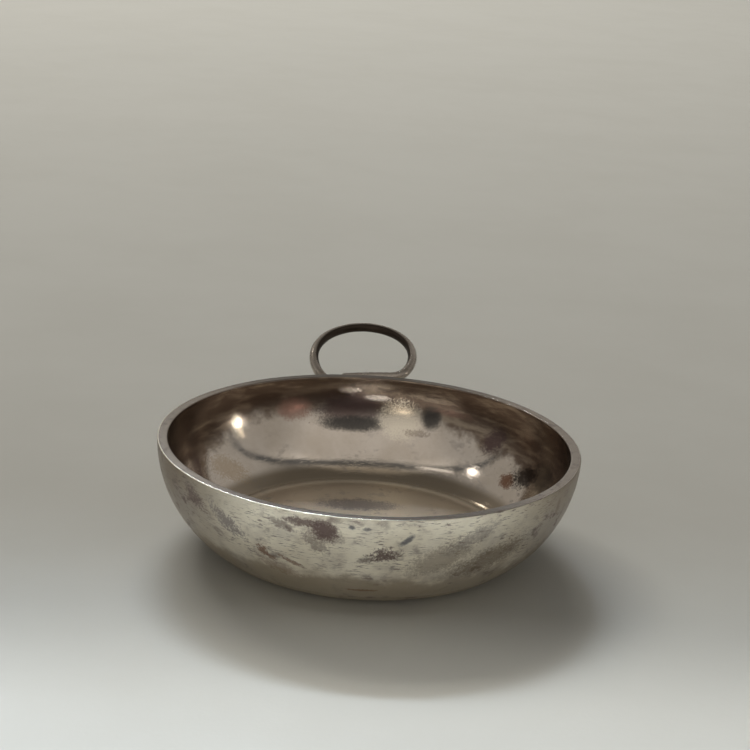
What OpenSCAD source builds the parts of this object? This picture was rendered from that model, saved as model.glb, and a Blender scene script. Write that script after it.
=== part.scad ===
// Tastevin: a shallow silver tasting cup with a finger ring soldered to its wall.
// The bowl's axis is Z, its flat bottom stands on z = 0, and the ring reaches out along +Y.

/* [Bowl] */
// Outside diameter at the lip
rim_d = 84.8; // [78:0.2:92]
// Height of the lip above the table
bowl_h = 22.2; // [20:0.1:26]
// Diameter of the flat bottom
foot_d = 54; // [46:0.5:58]
// Outside radius of the bend from the bottom into the wall
bottom_r = 7.3; // [4:0.1:9]
// Thickness of the silver
wall_t = 2.3; // [1.2:0.05:3]
// Outward lean of the wall at the lip, in degrees
lip_lean = 0.7; // [0:0.1:8]
// Rounding of both edges of the flat lip
lip_round = 0.4; // [0.1:0.05:0.5]

/* [Ring handle] */
// Diameter of the wire
wire_d = 2.1; // [1.5:0.05:2.6]
// Width of the finger ring between the middles of its sides
ring_w = 22; // [20:0.2:26]
// Distance from the wire against the wall to the far side of the ring, between middles
ring_reach = 18.4; // [14:0.1:19]
// Radius of the two bends that turn the ring's sides along the wall
bend_r = 4.5; // [3.5:0.1:5.5]
// Upward tilt of the ring, in degrees
ring_tilt = 19.6; // [0:0.2:35]
// Length of each tail along the wall
tail_l = 9.5; // [6:0.1:12]
// Diameter of each tail at its drawn-out tip
tip_d = 1.1; // [0.7:0.05:1.4]
// Depth of the upper tail's middle below the lip
upper_drop = 0.7; // [0.6:0.05:5]
// Clear space between the two tails
tail_gap = 0.4; // [0.2:0.05:1.2]

/* [Solder] */
// Thickness of the solder between a tail and the wall
solder_film = 0.15; // [0.1:0.01:0.3]
// Height that the solder spreads on the wall past its hold on the wire
solder_spread = 0.5; // [0.2:0.05:0.9]
// Angle that the solder wraps round the wire, from the wall side, in degrees
solder_wrap = 60; // [35:1:75]

/* [Hidden] */

// Fit between solder and the metal on either side of it
touch = 0.02;
// How far up the solder on the wire follows the solder on the wall, as a share of its height
fillet_share = 0.75;

// Steps round the bowl, round the wire, and along each kind of curve
bowl_steps = 240;
wire_sides = 12;
bend_steps = 10;
wall_steps = 16;
lip_steps = 6;
loop_steps = 40;
tail_steps = 14;
seam_steps = 8;

rim_r = rim_d / 2;
foot_r = foot_d / 2;
wire_r = wire_d / 2;
tip_r = tip_d / 2;
ring_r = ring_w / 2;

// The wall's outside is one arc, tangent to the bottom bend and leaning by lip_lean at the lip
lip_slope = 90 - lip_lean;
bend_c = [foot_r, bottom_r];
spread = [rim_r, bowl_h] - bend_c;
wall_r = (spread * spread - bottom_r * bottom_r)
    / (2 * (spread.x * sin(lip_slope) - spread.y * cos(lip_slope) - bottom_r));
wall_c = [rim_r - wall_r * sin(lip_slope), bowl_h + wall_r * cos(lip_slope)];
join_a = atan2(bend_c.y - wall_c.y, bend_c.x - wall_c.x);

// Radius of the surface that lies off outside the wall, at height z
function outside(z, off = 0) = wall_c.x + sqrt(pow(wall_r + off, 2) - pow(z - wall_c.y, 2));

// Points of an arc about c from angle a to angle b, without its last point
function arc(c, r, a, b, steps) =
    [for (i = [0:steps - 1]) let (t = a + (b - a) * i / steps) c + r * [cos(t), sin(t)]];

// Centre of a lip rounding that touches the surface at off from the wall's outside
function lip_c(off) = [outside(bowl_h - lip_round, off), bowl_h - lip_round];
function lip_a(off) = let (c = lip_c(off)) atan2(c.y - wall_c.y, c.x - wall_c.x);
outer_off = -lip_round;
inner_off = lip_round - wall_t;

bowl_outline = concat(
    [[0, 0]],
    arc(bend_c, bottom_r, -90, join_a, bend_steps),
    arc(wall_c, wall_r, join_a, lip_a(outer_off), wall_steps),
    arc(lip_c(outer_off), lip_round, lip_a(outer_off), 90, lip_steps),
    arc(lip_c(inner_off), lip_round, 90, 180 + lip_a(inner_off), lip_steps),
    arc(wall_c, wall_r - wall_t, lip_a(inner_off), join_a, wall_steps),
    arc(bend_c, bottom_r - wall_t, join_a, -90, bend_steps),
    [[foot_r, wall_t], [0, wall_t]]
);

// Heights of the two tails, and the circle that the wire follows against the wall
tail_step = wire_r + tip_r + tail_gap;
upper_z = bowl_h - upper_drop;
joint_z = upper_z - tail_step / 2;
hug_r = outside(upper_z, solder_film + wire_r);

// Seen from above, each bend touches the wall's circle outside and the ring's circle inside
ring_y = hug_r + ring_reach - ring_r;
curl_y = (pow(hug_r + bend_r, 2) - pow(ring_r - bend_r, 2) + pow(ring_y, 2)) / (2 * ring_y);
curl_c = [sqrt(pow(hug_r + bend_r, 2) - pow(curl_y, 2)), curl_y];
ring_c = [0, ring_y];
curl_a = atan2(-curl_c.y, -curl_c.x);
loop_a = atan2(curl_c.y - ring_y, curl_c.x);

// Angles round the bowl, from +Y, where a tail starts and ends
tail_a = atan2(curl_c.x, curl_c.y);
tip_a = tail_a - tail_l / hug_r * 180 / PI;

// A tail's middle at share k from tip to bend: distance from the axis, angle, height and wire radius
function tail_at(side, k) =
    let (
        r = tip_r + (wire_r - tip_r) * k,
        z = joint_z + side * tail_step / 2,
        drift = hug_r - outside(z, solder_film + wire_r)
    )
    [outside(z, solder_film + r) + drift * k, side * (tip_a + (tail_a - tip_a) * k), z, r];

// The point at angle a round the bowl, from +Y, at distance d from its axis
function round_bowl(d, a, z) = [d * sin(a), d * cos(a), z];

// The wire's middle and radius along a tail, from its tip
function tail(side) = [
    for (i = [0:tail_steps - 1])
        let (t = tail_at(side, i / tail_steps)) concat(round_bowl(t[0], t[1], t[2]), t[3])
];

// The ring's plan from the end of one tail to the end of the other
right_curl = arc(curl_c, bend_r, curl_a, loop_a, bend_steps);
loop = arc(ring_c, ring_r, loop_a, 180 - loop_a, loop_steps);
left_curl = arc([-curl_c.x, curl_c.y], bend_r, 180 - loop_a, 180 - curl_a, bend_steps);
left_end = [-curl_c.x, curl_c.y] + bend_r * [cos(180 - curl_a), sin(180 - curl_a)];
ring_plan = concat(right_curl, loop, left_curl, [left_end]);

// The ring rises away from the wall and drops from the upper tail to the lower one on its way round
curl_l = bend_r * (loop_a - curl_a);
loop_l = ring_r * (180 - 2 * loop_a);
function share(i) =
    (min(i / bend_steps, 1) * curl_l
        + min(max((i - bend_steps) / loop_steps, 0), 1) * loop_l
        + max((i - bend_steps - loop_steps) / bend_steps, 0) * curl_l)
    / (2 * curl_l + loop_l);
function ring_height(p, k) = joint_z + (norm(p) - hug_r) * tan(ring_tilt) + tail_step * (0.5 - k);
ring_run = [
    for (i = [0:len(ring_plan) - 1])
        let (p = ring_plan[i]) [p.x, p.y, ring_height(p, share(i)), wire_r]
];

function reversed(list) = [for (i = [len(list) - 1:-1:0]) list[i]];
function place(p) = [p[0], p[1], p[2]];
function unit(v) = v / norm(v);

// The rounded tip beyond the first point of a tail
function tip(path) =
    let (back = unit(place(path[0]) - place(path[1])), r = path[0][3])
    [for (a = [75, 50, 25]) concat(place(path[0]) + back * r * sin(a), r * cos(a))];

wire_path = let (start = tail(1), end = tail(-1))
    concat(tip(start), start, ring_run, reversed(end), reversed(tip(end)));

// One ring of points round the wire at point i of a path
function wire_ring(path, i) =
    let (
        ahead = unit(place(path[min(i + 1, len(path) - 1)]) - place(path[max(i - 1, 0)])),
        aside = unit(cross(ahead, [0, 0, 1])),
        above = cross(aside, ahead)
    )
    [
        for (j = [0:wire_sides - 1])
            let (a = 360 * j / wire_sides) place(path[i]) + path[i][3] * (aside * cos(a) + above * sin(a))
    ];

// One ring of points round a solder seam: up the wall, then down the wire
function seam_ring(side, k) =
    let (
        t = tail_at(side, k),
        r = t[3] + touch,
        free = r * sin(solder_wrap) + solder_spread,
        between = tail_step / 2 - touch,
        high = min(free, side > 0 ? bowl_h - lip_round - t[2] : between),
        low = min(free, side > 0 ? between : free),
        high_a = asin(min(sin(solder_wrap), fillet_share * high / r)),
        low_a = asin(min(sin(solder_wrap), fillet_share * low / r)),
        on_wall = [for (i = [0:seam_steps]) let (z = t[2] - low + (low + high) * i / seam_steps)
            round_bowl(outside(z, touch), t[1], z)],
        on_wire = [for (i = [seam_steps:-1:0]) let (a = -low_a + (low_a + high_a) * i / seam_steps)
            round_bowl(t[0] - r * cos(a), t[1], t[2] + r * sin(a))]
    )
    concat(on_wall, on_wire);

// Joins rings of points into one closed solid; caps lists the faces of an end by their place in a ring
module skin(rings, caps) {
    n = len(rings[0]);
    last = len(rings) - 1;
    walls = [
        for (i = [0:last - 1], j = [0:n - 1])
            let (a = i * n + j, b = i * n + (j + 1) % n)
                each [[a, b + n, a + n], [a, b, b + n]]
    ];
    starts = [for (f = caps) reversed(f)];
    ends = [for (f = caps) [for (j = f) last * n + j]];
    polyhedron([for (r = rings) each r], concat(walls, starts, ends), convexity = 6);
}

module seam(side) {
    last = 2 * seam_steps + 1;
    rings = [for (i = [0:tail_steps]) seam_ring(side, i / tail_steps)];
    turned = side > 0 ? rings : reversed(rings);
    skin(turned, [for (i = [0:seam_steps - 1]) [i, i + 1, last - i - 1, last - i]]);
}

// Raised bowl with a flat bottom and a flat lip
module bowl() {
    color([0.74, 0.72, 0.66])
        rotate_extrude($fn = bowl_steps) polygon(bowl_outline);
}

// Finger ring bent from one wire, both ends laid along the wall
module handle_ring() {
    color([0.45, 0.42, 0.38])
        skin(
            [for (i = [0:len(wire_path) - 1]) wire_ring(wire_path, i)],
            [[for (j = [0:wire_sides - 1]) j]]
        );
}

// Solder under the tail of the ring's right side
module upper_solder() {
    color([0.58, 0.55, 0.5]) seam(1);
}

// Solder under the tail of the ring's left side
module lower_solder() {
    color([0.52, 0.5, 0.46]) seam(-1);
}

bowl();
handle_ring();
upper_solder();
lower_solder();
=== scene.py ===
import math

import bmesh
import bpy
from mathutils import Matrix, Quaternion, Vector, noise


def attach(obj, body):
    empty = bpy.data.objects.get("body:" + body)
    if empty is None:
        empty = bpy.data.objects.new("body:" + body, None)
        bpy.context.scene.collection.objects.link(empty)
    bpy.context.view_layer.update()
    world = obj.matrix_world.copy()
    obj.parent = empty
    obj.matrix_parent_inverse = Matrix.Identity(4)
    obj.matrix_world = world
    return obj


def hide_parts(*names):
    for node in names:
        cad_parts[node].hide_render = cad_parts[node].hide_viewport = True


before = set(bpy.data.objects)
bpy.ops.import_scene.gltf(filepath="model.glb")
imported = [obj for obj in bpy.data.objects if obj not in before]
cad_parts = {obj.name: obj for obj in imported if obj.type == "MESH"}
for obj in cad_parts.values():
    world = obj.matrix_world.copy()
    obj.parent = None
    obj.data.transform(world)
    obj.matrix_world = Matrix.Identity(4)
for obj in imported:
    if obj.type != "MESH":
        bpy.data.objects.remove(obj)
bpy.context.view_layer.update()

# Bowl: one thick disc of silver raised with a hammer into a shallow round cup with a flat bottom,
# planished, then filed flat along the lip and polished. Years of use have left it under brown film and
# ragged stains, scuffed outside and worn bright on the lip's outer edge. Inside below the lip it is dark
# brown: tarnish with painted dark reflection. Painted shade darkens the outside at its ends and low on
# the belly, and the lip's top at front and back. A few patches high inside are painted highlights.
MM = 0.001
RIM_R = 42.4
BOWL_H = 22.2
FOOT_R = 27.0
BOTTOM_BEND_R = 7.3
WALL_T = 2.3
LIP_LEAN = math.radians(0.7)
LIP_ROUND = 0.4

lip_slope = math.pi / 2 - LIP_LEAN
bend_centre = Vector((FOOT_R, BOTTOM_BEND_R))
reach = Vector((RIM_R, BOWL_H)) - bend_centre
wall_bend_r = (reach.length_squared - BOTTOM_BEND_R ** 2) / (
    2 * (reach.x * math.sin(lip_slope) - reach.y * math.cos(lip_slope) - BOTTOM_BEND_R))
wall_centre = Vector((RIM_R - wall_bend_r * math.sin(lip_slope),
                      BOWL_H + wall_bend_r * math.cos(lip_slope)))
join_angle = math.atan2(bend_centre.y - wall_centre.y, bend_centre.x - wall_centre.x)


def wall_radius(height, off=0.0):
    """Distance from the bowl's axis to the surface that lies off outside the wall, at a height."""
    return wall_centre.x + math.sqrt((wall_bend_r + off) ** 2 - (height - wall_centre.y) ** 2)


def arc(centre, radius, start, end, steps):
    """Points along an arc, without the last one."""
    turns = [start + (end - start) * i / steps for i in range(steps)]
    return [centre + radius * Vector((math.cos(t), math.sin(t))) for t in turns]


def straight(start, end, steps):
    """Points along a straight line, without the last one."""
    return [start.lerp(end, i / steps) for i in range(steps)]


def lip_rounding(off):
    """Centre of a lip rounding, and the direction in which it meets the wall's curve."""
    centre = Vector((wall_radius(BOWL_H - LIP_ROUND, off), BOWL_H - LIP_ROUND))
    return centre, math.atan2(centre.y - wall_centre.y, centre.x - wall_centre.x)


DOWN = -math.pi / 2
UP = math.pi / 2
UNDERSIDE_STEPS = 14
OUTER_BEND_STEPS = 10
OUTER_WALL_STEPS = 36
LIP_ROUND_STEPS = 7
LIP_FLAT_STEPS = 5
INNER_WALL_STEPS = 44
INNER_BEND_STEPS = 14
INNER_BOTTOM_STEPS = 26
outer_lip, outer_lip_angle = lip_rounding(-LIP_ROUND)
inner_lip, inner_lip_angle = lip_rounding(LIP_ROUND - WALL_T)
outside_outline = (
    straight(Vector((0, 0)), Vector((FOOT_R, 0)), UNDERSIDE_STEPS)
    + arc(bend_centre, BOTTOM_BEND_R, DOWN, join_angle, OUTER_BEND_STEPS)
    + arc(wall_centre, wall_bend_r, join_angle, outer_lip_angle, OUTER_WALL_STEPS)
    + arc(outer_lip, LIP_ROUND, outer_lip_angle, UP, LIP_ROUND_STEPS))
inside_outline = (
    straight(outer_lip + Vector((0, LIP_ROUND)), inner_lip + Vector((0, LIP_ROUND)), LIP_FLAT_STEPS)
    + arc(inner_lip, LIP_ROUND, UP, math.pi + inner_lip_angle, LIP_ROUND_STEPS)
    + arc(wall_centre, wall_bend_r - WALL_T, inner_lip_angle, join_angle, INNER_WALL_STEPS)
    + arc(bend_centre, BOTTOM_BEND_R - WALL_T, join_angle, DOWN, INNER_BEND_STEPS)
    + straight(Vector((FOOT_R, WALL_T)), Vector((0, WALL_T)), INNER_BOTTOM_STEPS)
    + [Vector((0, WALL_T))])


def linked(name, data):
    """A new object for a mesh, a light or a camera, put into the scene."""
    made = bpy.data.objects.new(name, data)
    bpy.context.collection.objects.link(made)
    return made


def polyline(name, points, **values):
    """A mesh of points joined in a row, with one named value a point."""
    mesh = bpy.data.meshes.new(name)
    mesh.from_pydata(points, [(i, i + 1) for i in range(len(points) - 1)], [])
    for value_name, numbers in values.items():
        mesh.attributes.new(value_name, "FLOAT", "POINT").data.foreach_set("value", numbers)
    return linked(name, mesh)


def node(tree, kind, inputs=None, **settings):
    """A new node with its settings, and its inputs set or linked by name or number."""
    made = tree.nodes.new(kind)
    for name, value in settings.items():
        setattr(made, name, value)
    for key, value in (inputs or {}).items():
        if isinstance(value, bpy.types.NodeSocket):
            tree.links.new(value, made.inputs[key])
        else:
            made.inputs[key].default_value = value
    return made


def math_node(tree, operation, first, second=0.5):
    """The result of one sum."""
    return node(tree, "ShaderNodeMath", {0: first, 1: second}, operation=operation).outputs[0]


def vector_node(tree, operation, first, second):
    """The vector result of one vector sum."""
    key = "Scale" if operation == "SCALE" else 1
    return node(tree, "ShaderNodeVectorMath", {0: first, key: second}, operation=operation).outputs[0]


def length_node(tree, vector):
    """How long a vector is."""
    return node(tree, "ShaderNodeVectorMath", {0: vector}, operation="LENGTH").outputs[1]


def new_tree(name, kind, inputs, outputs):
    """An empty node group with named sockets, and its input and output sockets."""
    tree = bpy.data.node_groups.new(name, kind)
    for socket_name, socket_kind in inputs:
        tree.interface.new_socket(socket_name, in_out="INPUT", socket_type=socket_kind)
    for socket_name, socket_kind in outputs:
        tree.interface.new_socket(socket_name, in_out="OUTPUT", socket_type=socket_kind)
    return tree, tree.nodes.new("NodeGroupInput").outputs, tree.nodes.new("NodeGroupOutput").inputs


def hand_worked(tree, geometry, given):
    """Geometry pressed in along its normals by broad waver and by hammer marks."""
    place = vector_node(tree, "SCALE", node(tree, "GeometryNodeInputPosition").outputs[0], 1 / MM)
    depth = 0.0
    for size, deep in (("Waver Size", "Waver Depth"), ("Hammer Size", "Hammer Depth")):
        scaled = vector_node(tree, "SCALE", place, math_node(tree, "DIVIDE", 1.0, given[size]))
        marks = node(tree, "ShaderNodeTexNoise",
                     {"Vector": scaled, "W": given["Seed"], "Scale": 1.0, "Detail": 1.0},
                     noise_dimensions="4D")
        press = math_node(tree, "MULTIPLY", math_node(tree, "SUBTRACT", marks.outputs[0], 1.0), given[deep])
        depth = math_node(tree, "ADD", press, depth)
    shift = vector_node(tree, "SCALE", node(tree, "GeometryNodeInputNormal").outputs[0],
                        math_node(tree, "MULTIPLY", depth, MM))
    return node(tree, "GeometryNodeSetPosition", {"Geometry": geometry, "Offset": shift}).outputs[0]


def finish_tree(tree, geometry, given, outputs):
    """Smooth shading, realized instances and the metal, at the end of a tree."""
    smooth = node(tree, "GeometryNodeSetShadeSmooth", {"Geometry": geometry})
    whole = node(tree, "GeometryNodeRealizeInstances", {"Geometry": smooth.outputs[0]})
    dressed = node(tree, "GeometryNodeSetMaterial",
                   {"Geometry": whole.outputs[0], "Material": given["Metal"]})
    tree.links.new(dressed.outputs[0], outputs[0])


HAND_INPUTS = [("Waver Size", "NodeSocketFloat"), ("Waver Depth", "NodeSocketFloat"),
               ("Hammer Size", "NodeSocketFloat"), ("Hammer Depth", "NodeSocketFloat"),
               ("Seed", "NodeSocketFloat"), ("Metal", "NodeSocketMaterial")]
MERGE = 0.001 * MM


def raised_bowl_tree():
    """Turns an outline round the Z axis and works it with the hammer."""
    tree, given, outputs = new_tree(
        "Raised bowl", "GeometryNodeTree",
        [("Outline", "NodeSocketGeometry"), ("Steps Round", "NodeSocketInt")] + HAND_INPUTS,
        [("Bowl", "NodeSocketGeometry")])
    rows = node(tree, "GeometryNodeAttributeDomainSize", {0: given["Outline"]}).outputs["Point Count"]
    columns = math_node(tree, "ADD", given["Steps Round"], 1.0)
    grid = node(tree, "GeometryNodeMeshGrid", {"Vertices X": columns, "Vertices Y": rows}).outputs[0]
    index = node(tree, "GeometryNodeInputIndex").outputs[0]
    row = math_node(tree, "FLOORED_MODULO", index, rows)
    column = math_node(tree, "FLOOR", math_node(tree, "DIVIDE", index, rows))
    angle = math_node(tree, "MULTIPLY", math_node(tree, "DIVIDE", column, given["Steps Round"]), math.tau)
    position = node(tree, "GeometryNodeInputPosition").outputs[0]
    side = node(tree, "GeometryNodeInputNamedAttribute", {"Name": "inside"}, data_type="FLOAT").outputs[0]
    sampled = {}
    for name, value, kind in (("point", position, "FLOAT_VECTOR"), ("side", side, "FLOAT")):
        sampled[name] = node(tree, "GeometryNodeSampleIndex", data_type=kind)
        for key, source in (("Geometry", given["Outline"]), ("Value", value), ("Index", row)):
            tree.links.new(source, sampled[name].inputs[key])
    point = node(tree, "ShaderNodeSeparateXYZ", {0: sampled["point"].outputs[0]}).outputs
    turned = node(tree, "ShaderNodeCombineXYZ", {
        0: math_node(tree, "MULTIPLY", point[0], math_node(tree, "COSINE", angle)),
        1: math_node(tree, "MULTIPLY", point[0], math_node(tree, "SINE", angle)),
        2: point[2]}).outputs[0]
    shell = node(tree, "GeometryNodeSetPosition", {"Geometry": grid, "Position": turned}).outputs[0]
    marked = node(tree, "GeometryNodeStoreNamedAttribute",
                  {"Geometry": shell, "Name": "inside", "Value": sampled["side"].outputs[0]},
                  data_type="FLOAT", domain="POINT").outputs[0]
    closed = node(tree, "GeometryNodeMergeByDistance", {"Geometry": marked, "Distance": MERGE}).outputs[0]
    finish_tree(tree, hand_worked(tree, closed, given), given, outputs)
    return tree


def grown(start, tree, **inputs):
    """The plain mesh that a tree makes from a start object, left in that object."""
    modifier = start.modifiers.new("shape", "NODES")
    modifier.node_group = tree
    for item in tree.interface.items_tree:
        plain_name = item.name.replace(" ", "_").lower()
        if item.in_out == "INPUT" and plain_name in inputs:
            modifier[item.identifier] = inputs[plain_name]
    bpy.context.view_layer.update()
    mesh = bpy.data.meshes.new_from_object(start.evaluated_get(bpy.context.evaluated_depsgraph_get()))
    start.modifiers.remove(modifier)
    old_mesh = start.data
    start.data = mesh
    bpy.data.meshes.remove(old_mesh)
    edit = bmesh.new()
    edit.from_mesh(mesh)
    bmesh.ops.recalc_face_normals(edit, faces=edit.faces)
    edit.to_mesh(mesh)
    edit.free()
    return start


def fade(tree, value, start, end):
    """A soft step of a value, from 0 at start to 1 at end."""
    return node(tree, "ShaderNodeMapRange", {0: value, 1: start, 2: end},
                interpolation_type="SMOOTHSTEP").outputs[0]


def ramped(tree, value, low, high, start=0.0, end=1.0):
    """A value's way from start to end, turned into one from low to high."""
    return node(tree, "ShaderNodeMapRange", {0: value, 1: start, 2: end, 3: low, 4: high}).outputs[0]


def product(tree, first, second):
    """Two masks multiplied."""
    return math_node(tree, "MULTIPLY", first, second)


def distance_from(tree, place, axis):
    """Distance of a place from an upright axis."""
    flat = vector_node(tree, "MULTIPLY", place, (1, 1, 0))
    return length_node(tree, vector_node(tree, "SUBTRACT", flat, (axis.x, axis.y, 0)))


NOISE_MIDDLE = 0.5


def cloud(tree, place, scale, detail, output=0):
    """Plain cloudy noise, as a value or as a colour."""
    return node(tree, "ShaderNodeTexNoise",
                {"Vector": place, "Scale": scale, "Detail": detail, "Roughness": 0.65}).outputs[output]


NO_COVER_LEVEL = 0.78
FULL_COVER_LEVEL = 0.28


def tarnish_group():
    """A mask of cloudy patches: how large they are, how much they cover and how soft they are."""
    tree, given, outputs = new_tree(
        "Tarnish", "ShaderNodeTree",
        [("Place", "NodeSocketVector"), ("Size", "NodeSocketVector"), ("Cover", "NodeSocketFloat"),
         ("Softness", "NodeSocketFloat"), ("Seed", "NodeSocketFloat")],
        [("Mask", "NodeSocketFloat")])
    scaled = vector_node(tree, "DIVIDE", given["Place"], given["Size"])
    patches = node(tree, "ShaderNodeTexNoise",
                   {"Vector": scaled, "W": given["Seed"], "Scale": 1.0, "Detail": 5.0, "Roughness": 0.62},
                   noise_dimensions="4D").outputs[0]
    middle = ramped(tree, given["Cover"], NO_COVER_LEVEL, FULL_COVER_LEVEL)
    low = math_node(tree, "SUBTRACT", middle, given["Softness"])
    high = math_node(tree, "ADD", middle, given["Softness"])
    tree.links.new(fade(tree, patches, low, high), outputs["Mask"])
    return tree


PATCH_EDGE_FADE = (-0.35, 0.85)


def patch_group():
    """A mask of one patch round a centre, longer along one direction, with a ragged, broken edge; the
    patches are stains and painted highlights.
    """
    tree, given, outputs = new_tree(
        "Patch", "ShaderNodeTree",
        [("Place", "NodeSocketVector"), ("Wobble", "NodeSocketVector"), ("Grain", "NodeSocketFloat"),
         ("Centre", "NodeSocketVector"), ("Along", "NodeSocketVector"), ("Length", "NodeSocketFloat"),
         ("Width", "NodeSocketFloat"), ("Ragged", "NodeSocketFloat"), ("Broken", "NodeSocketFloat")],
        [("Mask", "NodeSocketFloat")])
    push = vector_node(tree, "SCALE", given["Wobble"], given["Ragged"])
    pushed = vector_node(tree, "ADD", given["Place"], push)
    away = vector_node(tree, "SUBTRACT", pushed, given["Centre"])
    along = node(tree, "ShaderNodeVectorMath", {0: away, 1: given["Along"]},
                 operation="DOT_PRODUCT").outputs[1]
    whole_squared = math_node(tree, "POWER", length_node(tree, away), 2.0)
    along_squared = math_node(tree, "POWER", along, 2.0)
    across_squared = math_node(tree, "SUBTRACT", whole_squared, along_squared)
    lengthways = math_node(tree, "DIVIDE", along_squared, math_node(tree, "POWER", given["Length"], 2.0))
    widthways = math_node(tree, "DIVIDE", across_squared, math_node(tree, "POWER", given["Width"], 2.0))
    far = math_node(tree, "ADD", lengthways, widthways)
    uneven = math_node(tree, "SUBTRACT", given["Grain"], NOISE_MIDDLE)
    broken = product(tree, uneven, product(tree, given["Broken"], 2.0))
    body = math_node(tree, "ADD", math_node(tree, "SUBTRACT", 1.0, far), broken)
    tree.links.new(fade(tree, body, *PATCH_EDGE_FADE), outputs["Mask"])
    return tree


tarnish_tree = tarnish_group()
patch_tree = patch_group()


def tarnish(tree, place, size, cover, softness, seed):
    """The mask of one layer of cloudy tarnish, whose size is across, along and up."""
    return node(tree, "ShaderNodeGroup",
                {"Place": place, "Size": size, "Cover": cover, "Softness": softness, "Seed": seed},
                node_tree=tarnish_tree).outputs[0]


def patch(tree, place, wobble, grain, centre, along, length, width, ragged, broken):
    """The mask of one patch, whose length and width are counted from its centre; patches are stains and
    painted highlights.
    """
    return node(tree, "ShaderNodeGroup",
                {"Place": place, "Wobble": wobble, "Grain": grain, "Centre": centre, "Along": along,
                 "Length": length, "Width": width, "Ragged": ragged, "Broken": broken},
                node_tree=patch_tree).outputs[0]


def lay(tree, under, mask, share, over):
    """One colour laid by a share over another where the mask says."""
    mixed = node(tree, "ShaderNodeMix", {0: product(tree, mask, share)}, data_type="RGBA")
    for socket, colour in ((mixed.inputs[6], under), (mixed.inputs[7], over)):
        if isinstance(colour, bpy.types.NodeSocket):
            tree.links.new(colour, socket)
        else:
            socket.default_value = (*colour, 1)
    return mixed.outputs[2]


def new_material(name, metallic=1.0):
    """A material with its node tree, its shader and the place on the piece in millimetres."""
    material = bpy.data.materials.new(name)
    material.use_nodes = True
    tree = material.node_tree
    shader = tree.nodes["Principled BSDF"]
    shader.inputs["Metallic"].default_value = metallic
    place = vector_node(tree, "SCALE", node(tree, "ShaderNodeTexCoord").outputs["Object"], 1 / MM)
    return material, tree, shader, place


def pitted(tree, shader, height, depth):
    """Gives a shader the small ups and downs of a surface, as deep as depth in millimetres."""
    bump = node(tree, "ShaderNodeBump", {"Height": height, "Strength": 1.0, "Distance": depth * MM})
    tree.links.new(bump.outputs[0], shader.inputs["Normal"])


def on_wall(angle, height, off, tilt):
    """A point of the wall at an angle from the front, counted to the right, and a direction along it."""
    turn = math.radians(angle)
    outward = Vector((math.sin(turn), -math.cos(turn), 0))
    sideways = Vector((math.cos(turn), math.sin(turn), 0))
    radius = wall_radius(height, off)
    lean = math.atan2(wall_centre.y - height, radius - wall_centre.x)
    upward = outward * math.sin(lean) + Vector((0, 0, math.cos(lean)))
    along = sideways * math.cos(math.radians(tilt)) + upward * math.sin(math.radians(tilt))
    return outward * radius + Vector((0, 0, height)), along


CLEAN = (0.96, 0.92, 0.795)
FILM = (0.66, 0.605, 0.49)
WARM_FILM = (0.50, 0.42, 0.33)
TAUPE = (0.19, 0.142, 0.098)
OLIVE = (0.26, 0.20, 0.126)
HONEY = (0.46, 0.33, 0.19)
SMOKE = (0.28, 0.25, 0.24)
PURPLE = (0.13, 0.088, 0.085)
BLUE_GREY = (0.13, 0.135, 0.155)
SLATE = (0.075, 0.07, 0.066)
RUST = (0.22, 0.115, 0.07)
SOOT = (0.03, 0.02, 0.014)
CREAM = (0.88, 0.80, 0.67)
ROSE = (0.40, 0.25, 0.20)
PALE_ROSE = (0.76, 0.69, 0.62)
TAN = (0.96, 0.87, 0.72)
BROWN = (0.16, 0.112, 0.082)
BEND_BROWN = (0.25, 0.20, 0.14)
LIP_GREY = (0.38, 0.335, 0.29)
LIP_DARK = (0.10, 0.085, 0.073)

# Each patch, a stain unless marked as a painted highlight: angle, height, half length, half width, tilt,
# raggedness, brokenness, colour, strength
OUTSIDE_STAINS = [
    (-12.5, 18.8, 3.4, 2.3, -20, 2.5, 1.0, PURPLE, 0.95),
    (-18.5, 20.3, 4.6, 0.9, 0, 2.0, 1.4, PURPLE, 0.85),
    (-24.0, 18.9, 3.0, 1.0, -15, 2.5, 1.6, PURPLE, 0.6),
    (-15.0, 16.2, 3.4, 1.3, -40, 3.0, 1.8, PURPLE, 0.6),
    (8.1, 18.0, 1.9, 0.65, 40, 0.7, 0.6, BLUE_GREY, 0.9),
    (-5.9, 20.3, 0.75, 0.45, 0, 0.8, 0.8, BLUE_GREY, 0.85),
    (-2.2, 20.2, 0.9, 0.4, 0, 0.8, 1.0, BLUE_GREY, 0.75),
    (2.5, 14.8, 3.3, 1.5, 12, 4.0, 2.0, PURPLE, 0.9),
    (-1.5, 13.4, 2.4, 0.6, 12, 2.0, 1.6, PURPLE, 0.7),
    (-30.5, 12.2, 1.6, 1.1, -55, 1.6, 2.0, RUST, 0.85),
    (-28.0, 11.0, 1.3, 0.7, -20, 1.5, 2.0, RUST, 0.7),
    (-22.0, 10.9, 3.0, 0.55, -25, 1.2, 2.0, RUST, 0.75),
    (-26.0, 8.6, 5.0, 1.6, -20, 3.0, 3.0, RUST, 0.35),
    (-2.4, 5.2, 3.6, 0.5, 0, 1.0, 1.5, RUST, 0.75),
    (-41.0, 16.2, 5.0, 1.6, -32, 3.0, 3.0, SMOKE, 0.9),
    (-53.0, 18.2, 3.4, 1.6, -30, 2.5, 3.0, PURPLE, 0.65),
    (18.0, 13.5, 7.5, 3.4, 28, 4.0, 1.3, TAUPE, 0.55),
    (26.0, 17.5, 6.5, 1.6, 25, 3.0, 2.2, SMOKE, 0.5),
    (33.0, 11.6, 9.5, 3.0, 18, 4.0, 1.6, TAUPE, 0.7),
    (58.0, 18.3, 0.8, 1.8, 0, 1.0, 1.5, BROWN, 0.6),
]
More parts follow.
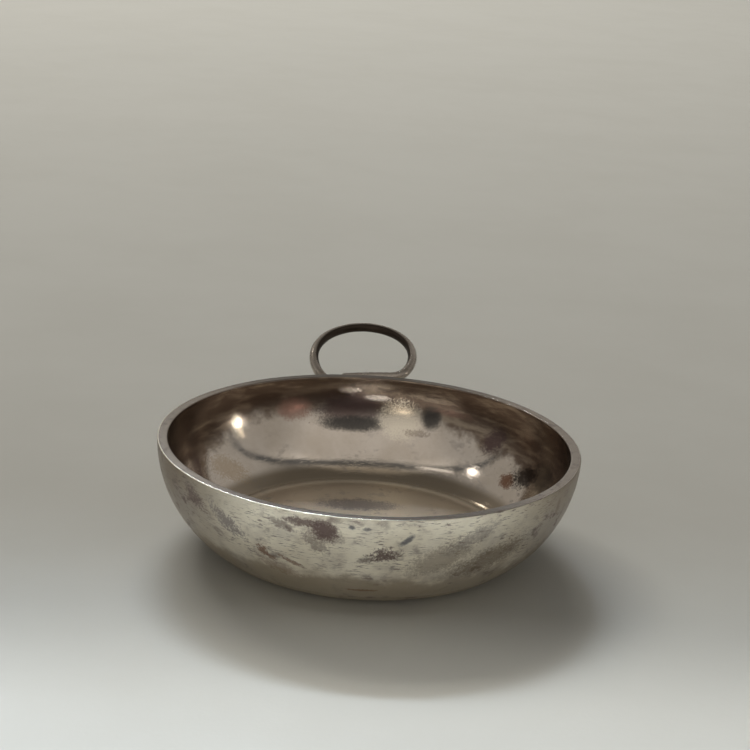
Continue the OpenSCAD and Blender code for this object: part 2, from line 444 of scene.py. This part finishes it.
INSIDE_STAINS_AND_HIGHLIGHTS = [
    (-176.0, 15.2, 8.2, 3.8, 0, 2.0, 0.7, PURPLE, 0.85),
    (-177.5, 12.2, 9.2, 1.9, 0, 1.0, 0.6, SLATE, 0.95),
    (167.3, 13.4, 5.2, 4.6, 0, 2.5, 1.3, CREAM, 0.9),
    (157.3, 14.8, 2.6, 2.7, 0, 1.2, 0.5, SLATE, 0.95),
    (161.5, 11.4, 3.2, 0.9, 0, 2.5, 2.4, BROWN, 0.45),
    (150.0, 16.6, 5.0, 0.8, 0, 2.0, 2.0, ROSE, 0.4),
    (-157.5, 15.6, 4.4, 2.6, 0, 2.0, 0.8, ROSE, 0.85),
    # Painted highlight: a cream patch where the glint on the left of the inside shows
    (-135.5, 14.2, 1.7, 2.8, 0, 1.2, 1.0, CREAM, 0.95),
    (-125.0, 7.0, 5.5, 3.0, 30, 4.0, 2.2, HONEY, 0.5),
    # Painted highlights: two pale rose streaks high on the far wall
    (-175.8, 19.2, 2.8, 0.7, 0, 0.8, 1.0, PALE_ROSE, 0.85),
    (175.2, 17.7, 3.0, 0.8, 0, 0.8, 1.0, PALE_ROSE, 1.0),
    (120.0, 8.0, 2.4, 1.9, 0, 1.6, 1.5, RUST, 0.95),
    (112.5, 10.3, 2.6, 4.4, 60, 2.5, 1.4, SOOT, 0.95),
    (103.0, 12.3, 5.0, 3.4, 0, 2.5, 1.8, SOOT, 0.7),
    (133.0, 13.6, 3.8, 2.4, -50, 2.5, 1.5, PURPLE, 0.9),
]


def patched(tree, under, stains, off, place, wobble, grain):
    """A colour with all patches of a list laid over it, stains and painted highlights, on the surface that
    lies off outside the wall.
    """
    for angle, height, length, width, tilt, ragged, broken, tint, strength in stains:
        centre, direction = on_wall(angle, height, off, tilt)
        mask = patch(tree, place, wobble, grain, centre, direction, length, width, ragged, broken)
        under = lay(tree, under, mask, strength, tint)
    return under


# Where the layers of the bowl's colour begin and where they are full, in millimetres. The sides, the belly
# and the lip's front and back are painted shade, and the inside's brown is tarnish with painted dark
# reflection
SIDES_FADE = (20.0, 40.0)
BELLY_FADE = (10.5, 7.0)
SCUFF_FADE = (7.0, 12.0)
BROWN_FADE = (-1.2, 2.4)
SPECK_FADE = (-5.0, 0.0)
BOTTOM_FADE = (3.0, 2.3)
BEND_UPPER_FADE = (5.6, 4.0)
BEND_LOWER_FADE = (2.25, 2.6)
LIP_FADE = (BOWL_H - 0.24, BOWL_H - 0.16)
LIP_DARK_FADE = (22.0, 41.0)
EDGE_FADE = (outer_lip.x - 0.05, outer_lip.x + 0.10)
WORN_EDGE_FADE = (18.0, -4.0)

# Height of the lower border of the inside's brown: in the middle and, past two stretches, at the sides
BROWN_DOWN_TO = 14.4
BROWN_RIGHT = 9.5
BROWN_LEFT = 9.0
RIGHT_STRETCH = (12.0, 36.0)
LEFT_STRETCH = (-25.0, -40.0)
BORDER_WAVER = 10.0
OUTSIDE_METAL = 0.6
bowl_axis = Vector((0, 0))


def bowl_finish():
    """Silver under brown film with stains and scuffs, painted shade outside, brown inside from the lip down
    (tarnish with painted dark reflection) and painted highlights.
    """
    material, tree, shader, place = new_material("tarnished_bowl_silver")
    inside = node(tree, "ShaderNodeAttribute", attribute_name="inside").outputs["Fac"]
    across, along, height = node(tree, "ShaderNodeSeparateXYZ", {0: place}).outputs
    film = tarnish(tree, place, size=(15, 15, 15), cover=0.55, softness=0.18, seed=1.0)
    smoke = tarnish(tree, place, size=(10, 10, 6), cover=0.45, softness=0.12, seed=2.0)
    blotches = tarnish(tree, place, size=(3.2, 3.2, 2.0), cover=0.42, softness=0.06, seed=3.0)
    mottle = product(tree, blotches, smoke)
    dashes = tarnish(tree, place, size=(1.8, 1.8, 0.25), cover=0.40, softness=0.05, seed=4.0)
    specks = tarnish(tree, place, size=(0.7, 0.7, 0.6), cover=0.22, softness=0.03, seed=5.0)
    handled = tarnish(tree, place, size=(8, 8, 5), cover=0.60, softness=0.12, seed=14.0)
    streaks = tarnish(tree, place, size=(8, 8, 1.6), cover=0.45, softness=0.1, seed=15.0)
    wobble = vector_node(tree, "SUBTRACT", cloud(tree, place, 0.5, 4.0, 1), (NOISE_MIDDLE,) * 3)
    grain = cloud(tree, place, 2.4, 5.0)
    broad = math_node(tree, "SUBTRACT", cloud(tree, place, 0.16, 5.0), NOISE_MIDDLE)
    wavy_height = math_node(tree, "ADD", height, product(tree, broad, BORDER_WAVER))

    aside = math_node(tree, "ABSOLUTE", across)
    scuffs = product(tree, product(tree, dashes, handled), fade(tree, height, *SCUFF_FADE))
    outer = lay(tree, CLEAN, film, 0.7, FILM)
    # Painted shade: the outside darkens to taupe towards its left and right ends
    outer = lay(tree, outer, fade(tree, aside, *SIDES_FADE), 0.9, TAUPE)
    # Painted shade and painted reflection: the lower belly turns dark olive, as it would reflecting the
    # shadowed floor
    outer = lay(tree, outer, fade(tree, wavy_height, *BELLY_FADE), 0.7, OLIVE)
    outer = lay(tree, outer, smoke, 0.35, SMOKE)
    outer = lay(tree, outer, mottle, 0.75, PURPLE)
    outer = lay(tree, outer, scuffs, 0.85, PURPLE)
    outer = lay(tree, outer, product(tree, specks, film), 0.7, PURPLE)
    outer = patched(tree, outer, OUTSIDE_STAINS, 0.0, place, wobble, grain)

    # From this border up to the lip the inside turns brown: tarnish, with painted dark reflection
    right_border = ramped(tree, across, BROWN_DOWN_TO, BROWN_RIGHT, *RIGHT_STRETCH)
    left_border = ramped(tree, across, BROWN_DOWN_TO, BROWN_LEFT, *LEFT_STRETCH)
    border = math_node(tree, "MINIMUM", right_border, left_border)
    above = math_node(tree, "SUBTRACT", wavy_height, border)
    browned_and_reflection = fade(tree, above, *BROWN_FADE)
    bottom = fade(tree, height, *BOTTOM_FADE)
    bend = product(tree, fade(tree, height, *BEND_UPPER_FADE), fade(tree, height, *BEND_LOWER_FADE))
    # A dark smudge laid across the middle of the bottom
    bottom_smudge = patch(tree, place, wobble, grain, centre=Vector((-1.0, 15.0, WALL_T)), along=Vector((1, 0, 0)),
                  length=9.0, width=3.4, ragged=4.0, broken=1.3)
    inner = lay(tree, PALE_ROSE, film, 0.5, WARM_FILM)
    inner = lay(tree, inner, bottom, 0.9, TAN)
    inner = lay(tree, inner, bend, 0.85, BEND_BROWN)
    inner = lay(tree, inner, mottle, 0.5, SMOKE)
    inner = lay(tree, inner, product(tree, specks, fade(tree, above, *SPECK_FADE)), 0.8, SOOT)
    inner = lay(tree, inner, browned_and_reflection, 0.92, BROWN)
    inner = lay(tree, inner, product(tree, browned_and_reflection, streaks), 0.65, WARM_FILM)
    inner = patched(tree, inner, INSIDE_STAINS_AND_HIGHLIGHTS, -WALL_T, place, wobble, grain)
    inner = lay(tree, inner, bottom_smudge, 0.75, SMOKE)

    lip = fade(tree, height, *LIP_FADE)
    front_or_back = fade(tree, math_node(tree, "ABSOLUTE", along), *LIP_DARK_FADE)
    edge = product(tree, lip, fade(tree, distance_from(tree, place, bowl_axis), *EDGE_FADE))
    worn_edge = product(tree, edge, fade(tree, across, *WORN_EDGE_FADE))
    colour = lay(tree, outer, inside, 1.0, inner)
    colour = lay(tree, colour, lip, 0.85, LIP_GREY)
    # Painted shade: the lip's flat top is darker at the front and back than at the sides
    colour = lay(tree, colour, product(tree, lip, front_or_back), 0.85, LIP_DARK)
    colour = lay(tree, colour, product(tree, lip, dashes), 0.4, PURPLE)
    colour = lay(tree, colour, worn_edge, 0.9, CLEAN)
    tree.links.new(colour, shader.inputs["Base Color"])
    tree.links.new(ramped(tree, inside, OUTSIDE_METAL, 1.0), shader.inputs["Metallic"])

    brown_and_reflection_inside = product(tree, product(tree, browned_and_reflection, inside), 0.4)
    dull = math_node(tree, "MAXIMUM", product(tree, mottle, 0.6), brown_and_reflection_inside)
    outside = math_node(tree, "SUBTRACT", 1.0, inside)
    rough = ramped(tree, dull, low=0.07, high=0.36)
    for mask, rougher in ((outside, 0.22), (bottom, 0.28), (film, 0.05)):
        rough = math_node(tree, "ADD", rough, product(tree, mask, rougher))
    tree.links.new(rough, shader.inputs["Roughness"])
    pitted(tree, shader, math_node(tree, "SUBTRACT", grain, product(tree, dashes, 0.4)), depth=0.006)
    return material


outline = outside_outline + inside_outline
bowl = grown(
    polyline("raised_bowl", [(point.x * MM, 0, point.y * MM) for point in outline],
             inside=[0.0] * len(outside_outline) + [1.0] * len(inside_outline)),
    raised_bowl_tree(), steps_round=360, waver_size=24.0, waver_depth=0.1,
    hammer_size=9.0, hammer_depth=0.12, seed=3.0, metal=bowl_finish())
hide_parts("bowl")
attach(bowl, "root")

# Finger ring: one length of drawn silver wire bent into a loop and laid with its two thinned ends
# along the wall under the lip, the right one above the left one. It is held there by solder alone.
# Handling has worn its far side a little thinner. The inside of the loop is darkened as painted shade.
WIRE_R = 1.05
TIP_R = 0.55
RING_R = 11.0
RING_REACH = 18.4
CURL_R = 4.5
RING_TILT = math.radians(19.6)
TAIL_L = 9.5
UPPER_DROP = 0.7
TAIL_GAP = 0.4
SOLDER_FILM = 0.15
WORN_SHARE = 0.02
TAIL_STEPS = 28
CURL_STEPS = 18
LOOP_STEPS = 90
CAP_ANGLES = (88, 75, 60, 45, 30, 15)

tail_step = WIRE_R + TIP_R + TAIL_GAP
upper_height = BOWL_H - UPPER_DROP
joint_height = upper_height - tail_step / 2
hug_r = wall_radius(upper_height, SOLDER_FILM + WIRE_R)
ring_centre = Vector((0, hug_r + RING_REACH - RING_R))
curl_y = ((hug_r + CURL_R) ** 2 - (RING_R - CURL_R) ** 2 + ring_centre.y ** 2) / (2 * ring_centre.y)
curl_centre = Vector((math.sqrt((hug_r + CURL_R) ** 2 - curl_y ** 2), curl_y))
curl_angle = math.atan2(-curl_centre.y, -curl_centre.x)
loop_angle = math.atan2(curl_centre.y - ring_centre.y, curl_centre.x)
tail_angle = math.atan2(curl_centre.x, curl_centre.y)
tip_angle = tail_angle - TAIL_L / hug_r


def tail_at(side, share):
    """A tail's middle at a share from tip to bend: distance from the axis, angle, height, wire radius."""
    radius = TIP_R + (WIRE_R - TIP_R) * share
    height = joint_height + side * tail_step / 2
    drift = hug_r - wall_radius(height, SOLDER_FILM + WIRE_R)
    angle = side * (tip_angle + (tail_angle - tip_angle) * share)
    return wall_radius(height, SOLDER_FILM + radius) + drift * share, angle, height, radius


def round_bowl(distance, angle, height):
    """The point at an angle from +Y round the bowl."""
    return Vector((distance * math.sin(angle), distance * math.cos(angle), height))


def tail(side):
    """Places and wire radii along a tail, from its rounded tip."""
    stops = [tail_at(side, i / TAIL_STEPS) for i in range(TAIL_STEPS)]
    line = [(round_bowl(*stop[:3]), stop[3]) for stop in stops]
    back = (line[0][0] - line[1][0]).normalized()
    cap = [math.radians(angle) for angle in CAP_ANGLES]
    return [(line[0][0] + back * TIP_R * math.sin(a), TIP_R * math.cos(a)) for a in cap] + line


right_curl = arc(curl_centre, CURL_R, curl_angle, loop_angle, CURL_STEPS)
loop = arc(ring_centre, RING_R, loop_angle, math.pi - loop_angle, LOOP_STEPS)
mirrored = Vector((-curl_centre.x, curl_centre.y))
left_curl = arc(mirrored, CURL_R, math.pi - loop_angle, math.pi - curl_angle, CURL_STEPS)
plan = right_curl + loop + left_curl
run = [0.0]
for before, after in zip(plan, plan[1:]):
    run.append(run[-1] + (after - before).length)
ring_line = []
for place, length in zip(plan, run):
    share = length / run[-1]
    rise = (place.length - hug_r) * math.tan(RING_TILT)
    height = joint_height + rise + tail_step * (0.5 - share)
    wear = 1 - WORN_SHARE * math.sin(math.pi * share) ** 2
    ring_line.append((Vector((place.x, place.y, height)), WIRE_R * wear))
wire_line = tail(1) + ring_line + list(reversed(tail(-1)))


def bent_wire_tree():
    """Draws a round wire of changing radius along a line and works it with the hammer."""
    tree, given, outputs = new_tree(
        "Bent wire", "GeometryNodeTree",
        [("Line", "NodeSocketGeometry"), ("Wire Sides", "NodeSocketInt")] + HAND_INPUTS,
        [("Wire", "NodeSocketGeometry")])
    radius = node(tree, "GeometryNodeInputNamedAttribute", {"Name": "wire_radius"},
                  data_type="FLOAT").outputs[0]
    curve = node(tree, "GeometryNodeMeshToCurve", {0: given["Line"]}).outputs[0]
    circle = node(tree, "GeometryNodeCurvePrimitiveCircle",
                  {"Resolution": given["Wire Sides"], "Radius": 1.0}).outputs[0]
    wire = node(tree, "GeometryNodeCurveToMesh",
                {"Curve": curve, "Profile Curve": circle, "Scale": radius, "Fill Caps": True}).outputs[0]
    closed = node(tree, "GeometryNodeMergeByDistance", {"Geometry": wire, "Distance": MERGE}).outputs[0]
    finish_tree(tree, hand_worked(tree, closed, given), given, outputs)
    return tree


WIRE_GREY = (0.44, 0.395, 0.35)
WIRE_FILM = (0.26, 0.22, 0.185)
LOOP_SHADE_FADE = (-0.15, -0.6)
LOOP_SHADE_CLEAR_OF_BOWL = (hug_r + 2.0, hug_r + 5.0)


def wire_finish():
    """Silver wire gone dark, with painted shade on the inside of the loop and a few pits."""
    material, tree, shader, place = new_material("tarnished_wire_silver")
    film = tarnish(tree, place, size=(4, 4, 4), cover=0.5, softness=0.15, seed=6.0)
    pits = tarnish(tree, place, size=(0.9, 0.9, 0.9), cover=0.2, softness=0.03, seed=7.0)
    along = node(tree, "ShaderNodeSeparateXYZ", {0: place}).outputs[1]
    from_middle = math_node(tree, "SUBTRACT", distance_from(tree, place, ring_centre), RING_R)
    # Painted shade: the inside of the loop goes near black, away from the bowl
    loop_shade = product(tree, fade(tree, from_middle, *LOOP_SHADE_FADE), fade(tree, along, *LOOP_SHADE_CLEAR_OF_BOWL))
    colour = lay(tree, WIRE_GREY, film, 0.8, WIRE_FILM)
    colour = lay(tree, colour, loop_shade, 0.95, SOOT)
    colour = lay(tree, colour, pits, 0.8, SOOT)
    tree.links.new(colour, shader.inputs["Base Color"])
    rough = ramped(tree, math_node(tree, "MAXIMUM", film, loop_shade), low=0.16, high=0.36)
    tree.links.new(rough, shader.inputs["Roughness"])
    pitted(tree, shader, math_node(tree, "SUBTRACT", cloud(tree, place, 2.0, 4.0), pits), depth=0.012)
    return material


ring = grown(
    polyline("finger_ring", [tuple(place * MM) for place, radius in wire_line],
             wire_radius=[radius * MM for place, radius in wire_line]),
    bent_wire_tree(), wire_sides=32, waver_size=5.0, waver_depth=0.04,
    hammer_size=1.6, hammer_depth=0.015, seed=8.0, metal=wire_finish())
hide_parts("handle_ring")
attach(ring, "root")

# Solder: two seams of silver solder, run in hot between the ring's tails and the wall. Each fills the
# crevice along its tail, draws up on the wire and feathers out on the wall with an uneven edge.
TOUCH = 0.02
SOLDER_SPREAD = 0.5
SOLDER_WRAP = math.radians(60)
FILLET_SHARE = 0.75
FILLET_STEPS = 4
EDGE_WANDER = 0.3
WANDERS_ALONG = 7
WANDERS_APART = 5
SEAM_STEPS = 40
SEAM_SIDES = 8


def hollow_curve(start, pull, end):
    """Points of a curve that is drawn from a straight line towards one point, without its ends."""
    shares = [i / FILLET_STEPS for i in range(1, FILLET_STEPS)]
    return [start * (1 - t) ** 2 + pull * 2 * t * (1 - t) + end * t ** 2 for t in shares]


def seam_section(side, share):
    """Points round a seam: up the wall, over to the wire, down along it and back to the wall."""
    distance, angle, height, radius = tail_at(side, share)
    hold = radius + TOUCH
    free = hold * math.sin(SOLDER_WRAP) + SOLDER_SPREAD
    between = tail_step / 2 - TOUCH
    room_above = BOWL_H - LIP_ROUND - height if side > 0 else between
    room_below = between if side > 0 else free
    wander = 1 - EDGE_WANDER * abs(noise.noise(Vector((share * WANDERS_ALONG, side * WANDERS_APART, 0))))
    high = min(free, room_above) * wander
    low = min(free, room_below) * wander
    high_angle = math.asin(min(math.sin(SOLDER_WRAP), FILLET_SHARE * high / hold))
    low_angle = math.asin(min(math.sin(SOLDER_WRAP), FILLET_SHARE * low / hold))
    shares = [i / SEAM_SIDES for i in range(SEAM_SIDES + 1)]
    heights = [height - low + (low + high) * t for t in shares]
    wall_side = [Vector((wall_radius(z, TOUCH), z)) for z in heights]
    turns = [high_angle - (low_angle + high_angle) * t for t in shares]
    wire_side = [Vector((distance - hold * math.cos(a), height + hold * math.sin(a))) for a in turns]
    above = Vector((wall_radius(wire_side[0].y, TOUCH), wire_side[0].y))
    below = Vector((wall_radius(wire_side[-1].y, TOUCH), wire_side[-1].y))
    section = (wall_side + hollow_curve(wall_side[-1], above, wire_side[0])
               + wire_side + hollow_curve(wire_side[-1], below, wall_side[0]))
    return [round_bowl(point.x, angle, point.y) for point in section]


def seam_loft(name, side):
    """A closed skin through the sections of one seam."""
    edit = bmesh.new()
    rows = []
    for i in range(SEAM_STEPS + 1):
        rows.append([edit.verts.new(point * MM) for point in seam_section(side, i / SEAM_STEPS)])
    count = len(rows[0])
    for before, after in zip(rows, rows[1:]):
        for i in range(count):
            edit.faces.new((before[i], before[(i + 1) % count], after[(i + 1) % count], after[i]))
    ends = [edit.faces.new(row) for row in (rows[0], rows[-1])]
    bmesh.ops.triangulate(edit, faces=ends)
    mesh = bpy.data.meshes.new(name)
    edit.to_mesh(mesh)
    edit.free()
    return linked(name, mesh)


def run_solder_tree():
    """Roughens a seam with the small lumps of solder that has set unevenly."""
    tree, given, outputs = new_tree(
        "Run solder", "GeometryNodeTree", [("Seam", "NodeSocketGeometry")] + HAND_INPUTS,
        [("Solder", "NodeSocketGeometry")])
    finish_tree(tree, hand_worked(tree, given["Seam"], given), given, outputs)
    return tree


SOLDER_GREY = (0.42, 0.385, 0.345)
SOLDER_FILM_BROWN = (0.22, 0.175, 0.14)


def solder_finish():
    """Dull grey solder with a grainy skin and brown flux stains."""
    material, tree, shader, place = new_material("dull_solder_silver")
    film = tarnish(tree, place, size=(2.5, 2.5, 1.5), cover=0.5, softness=0.12, seed=9.0)
    pits = tarnish(tree, place, size=(0.4, 0.4, 0.4), cover=0.25, softness=0.04, seed=10.0)
    colour = lay(tree, SOLDER_GREY, film, 0.85, SOLDER_FILM_BROWN)
    colour = lay(tree, colour, pits, 0.7, SOOT)
    tree.links.new(colour, shader.inputs["Base Color"])
    tree.links.new(ramped(tree, film, low=0.36, high=0.52), shader.inputs["Roughness"])
    pitted(tree, shader, math_node(tree, "SUBTRACT", cloud(tree, place, 3.5, 4.0), pits), depth=0.02)
    return material


SEAMS = (("upper_seam", 1, "upper_solder", 11.0), ("lower_seam", -1, "lower_solder", 12.0))
solder_silver = solder_finish()
solder_tree = run_solder_tree()
for name, side, cad_node, seed in SEAMS:
    seam = grown(seam_loft(name, side), solder_tree, waver_size=2.0, waver_depth=0.04, hammer_size=0.5,
                 hammer_depth=0.02, seed=seed, metal=solder_silver)
    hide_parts(cad_node)
    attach(seam, "root")

# Studio: a pale painted floor under soft light from behind on the left, with pools of light in front.
# Small cards stand where the polished metal shows bright spots and streaks. The room that it reflects is
# dim overhead and brighter on the camera's side, where one dark bowed beam crosses it.
FLOOR_SIZE = 10.0
FLOOR_PALE = (0.61, 0.62, 0.595)
FLOOR_WORN = (0.565, 0.57, 0.54)
FLOOR_SHINE = 0.15


def floor_finish():
    """Matt paint with faint cloudy wear and a fine grain."""
    material, tree, shader, place = new_material("pale_floor_paint", metallic=0.0)
    shader.inputs["Specular IOR Level"].default_value = FLOOR_SHINE
    wear = tarnish(tree, place, size=(60, 60, 60), cover=0.5, softness=0.2, seed=13.0)
    tree.links.new(lay(tree, FLOOR_PALE, wear, 0.4, FLOOR_WORN), shader.inputs["Base Color"])
    tree.links.new(ramped(tree, wear, low=0.5, high=0.62), shader.inputs["Roughness"])
    pitted(tree, shader, cloud(tree, place, 0.9, 3.0), depth=0.03)
    return material


bpy.ops.mesh.primitive_plane_add(size=FLOOR_SIZE)
floor = bpy.context.object
floor.name = "pale_floor"
floor.data.materials.append(floor_finish())


def place_light(name, data, place, aim, spin=0.0):
    """Hangs a light at a place, turned to face a point and spun about its own axis."""
    made = linked(name, data)
    made.location = place
    facing = (Vector(aim) - Vector(place)).to_track_quat("-Z", "Y")
    made.rotation_euler = (facing @ Quaternion((0, 0, 1), spin)).to_euler()
    return made


def soft_box(name, place, width, height, power, colour, spin=0.0):
    """A rectangular light that faces the bowl."""
    data = bpy.data.lights.new(name, "AREA")
    data.shape = "RECTANGLE"
    data.size = width
    data.size_y = height
    data.energy = power
    data.color = colour
    return place_light(name, data, place, (0, 0, 0), spin)


POOL_EDGE_BLEND = 0.03


def pool_light(name, place, aim, width, blur, power, colour):
    """A spot that lights the floor from a line on, where it fades in over twice the blur."""
    data = bpy.data.lights.new(name, "SPOT")
    data.energy = power
    data.spot_size = width
    data.spot_blend = POOL_EDGE_BLEND
    data.shadow_soft_size = blur
    data.color = colour
    place_light(name, data, place, aim)


WARM = (1.0, 0.95, 0.87)
COOL = (0.86, 0.99, 1.12)
CREAM_CARD = (1.0, 0.86, 0.68)
ROSE_CARD = (1.0, 0.60, 0.50)
key_light = soft_box("key_light", (-0.33, 1.26, 1.17), 1.20, 0.50, 17.5, WARM)
key_light.visible_glossy = False
front_card = soft_box("front_card", (0.05, -0.90, 0.06), 0.90, 0.12, 1.7, WARM)
front_card.visible_glossy = False

# Each card that the metal reflects: name, place, width, height, power, colour, spin about its own axis
CARDS = [
    ("low_card", (-0.42, -0.82, 0.07), 1.10, 0.10, 0.70, WARM, 0.0),
    ("key_glint", (-0.48, 0.75, 0.82), 0.10, 0.10, 0.20, WARM, 0.0),
    ("left_glint", (-0.84, 0.13, 0.85), 0.09, 0.07, 0.15, WARM, 0.0),
    ("right_glint", (1.20, -0.085, 0.23), 0.06, 0.10, 0.30, WARM, 0.0),
    ("left_trail", (-0.565, -0.07, 1.04), 0.02, 0.36, 0.06, WARM, math.radians(-39)),
    ("right_trail", (1.15, -0.06, 0.36), 0.03, 0.26, 0.04, CREAM_CARD, 0.0),
    ("cream_card", (-0.39, -1.00, 0.32), 0.24, 0.12, 0.08, CREAM_CARD, 0.0),
    ("rose_card", (0.74, -0.77, 0.25), 0.20, 0.09, 0.02, ROSE_CARD, 0.0),
]
for card in CARDS:
    soft_box(*card)

# The spots behind stand in a row, so that the shadow is soft at its sides and sharp in front
BACK_ROW = (-0.45, -0.34, -0.23, -0.12, -0.01)
for number, across in enumerate(BACK_ROW):
    pool_light(f"back_pool_{number}", (across, 0.84, 0.78), (across + 0.18, -2.0, 0.3),
               width=math.radians(63.7), blur=0.05, power=12.0, colour=COOL)
pool_light("front_pool", (0, -0.46, 1.0), (0, -0.46, 0),
           width=math.radians(45), blur=0.02, power=13.0, colour=WARM)

# Brightness of the room from the wall behind the bowl, over the top, to the side of the camera
ROOM = [(0.00, 0.40), (0.14, 0.42), (0.27, 0.36), (0.34, 0.24), (0.51, 0.20), (0.54, 0.70),
        (0.56, 0.70), (0.61, 0.50), (0.80, 0.55), (0.87, 0.42), (0.90, 0.20), (1.00, 0.14)]
ROOM_SIDES = 0.36
ROOM_SIDES_FADE = (0.45, 0.78)
BEAM_AT = 0.577
BEAM_BOW = 0.16
BEAM_FADE = (0.026, 0.013)
BEAM_DARK = (0.05, 0.055, 0.06)
LOW_DIM = 0.35
LOW_STRETCH = (0.04, 0.22)
FLOOR_SHARE = 0.35
world = bpy.data.worlds.new("studio")
world.use_nodes = True
room = world.node_tree
outlook = node(room, "ShaderNodeTexCoord").outputs["Generated"]
direction = node(room, "ShaderNodeSeparateXYZ", {0: outlook}).outputs
over = math_node(room, "DIVIDE", math_node(room, "ARCTAN2", direction[2], direction[1]), math.pi)
ramp = node(room, "ShaderNodeValToRGB", {0: over})
stops = ramp.color_ramp.elements
for inner_stop in ROOM[1:-1]:
    stops.new(inner_stop[0])
for stop, (share, bright) in zip(stops, ROOM):
    stop.position = share
    stop.color = (*(bright * tint for tint in WARM), 1)
sides = fade(room, math_node(room, "ABSOLUTE", direction[0]), *ROOM_SIDES_FADE)
room_colour = lay(room, ramp.outputs[0], sides, 1.0, [ROOM_SIDES * tint for tint in WARM])
bow = product(room, math_node(room, "POWER", direction[0], 2.0), BEAM_BOW)
off_beam = math_node(room, "SUBTRACT", math_node(room, "ADD", over, bow), BEAM_AT)
beam = fade(room, math_node(room, "ABSOLUTE", off_beam), *BEAM_FADE)
room_colour = lay(room, room_colour, beam, 0.9, BEAM_DARK)
raised = ramped(room, direction[2], LOW_DIM, 1.0, *LOW_STRETCH)
on_floor = node(room, "ShaderNodeLightPath").outputs["Is Diffuse Ray"]
softened = ramped(room, on_floor, 1.0, FLOOR_SHARE)
room.links.new(room_colour, room.nodes["Background"].inputs["Color"])
room.links.new(product(room, raised, softened), room.nodes["Background"].inputs["Strength"])
bpy.context.scene.world = world
bpy.context.scene.view_settings.view_transform = "Standard"

CAMERA_PLACE = Vector((-0.0191, -0.37607, 0.15774))
CAMERA_TURN = math.radians(2.95)
CAMERA_DIP = math.radians(17.94)
CAMERA_ROLL = math.radians(3.51)
CAMERA_LENS = 96.0
camera_data = bpy.data.cameras.new("camera")
camera_data.lens = CAMERA_LENS
camera = linked("camera", camera_data)
ahead = Vector((math.sin(CAMERA_TURN) * math.cos(CAMERA_DIP), math.cos(CAMERA_TURN) * math.cos(CAMERA_DIP),
                -math.sin(CAMERA_DIP)))
level = Vector((math.cos(CAMERA_TURN), -math.sin(CAMERA_TURN), 0))
upright = level.cross(ahead)
right = math.cos(CAMERA_ROLL) * level + math.sin(CAMERA_ROLL) * upright
above = math.cos(CAMERA_ROLL) * upright - math.sin(CAMERA_ROLL) * level
turned = Matrix((right, above, -ahead)).transposed().to_4x4()
camera.matrix_world = Matrix.Translation(CAMERA_PLACE) @ turned
bpy.context.scene.camera = camera
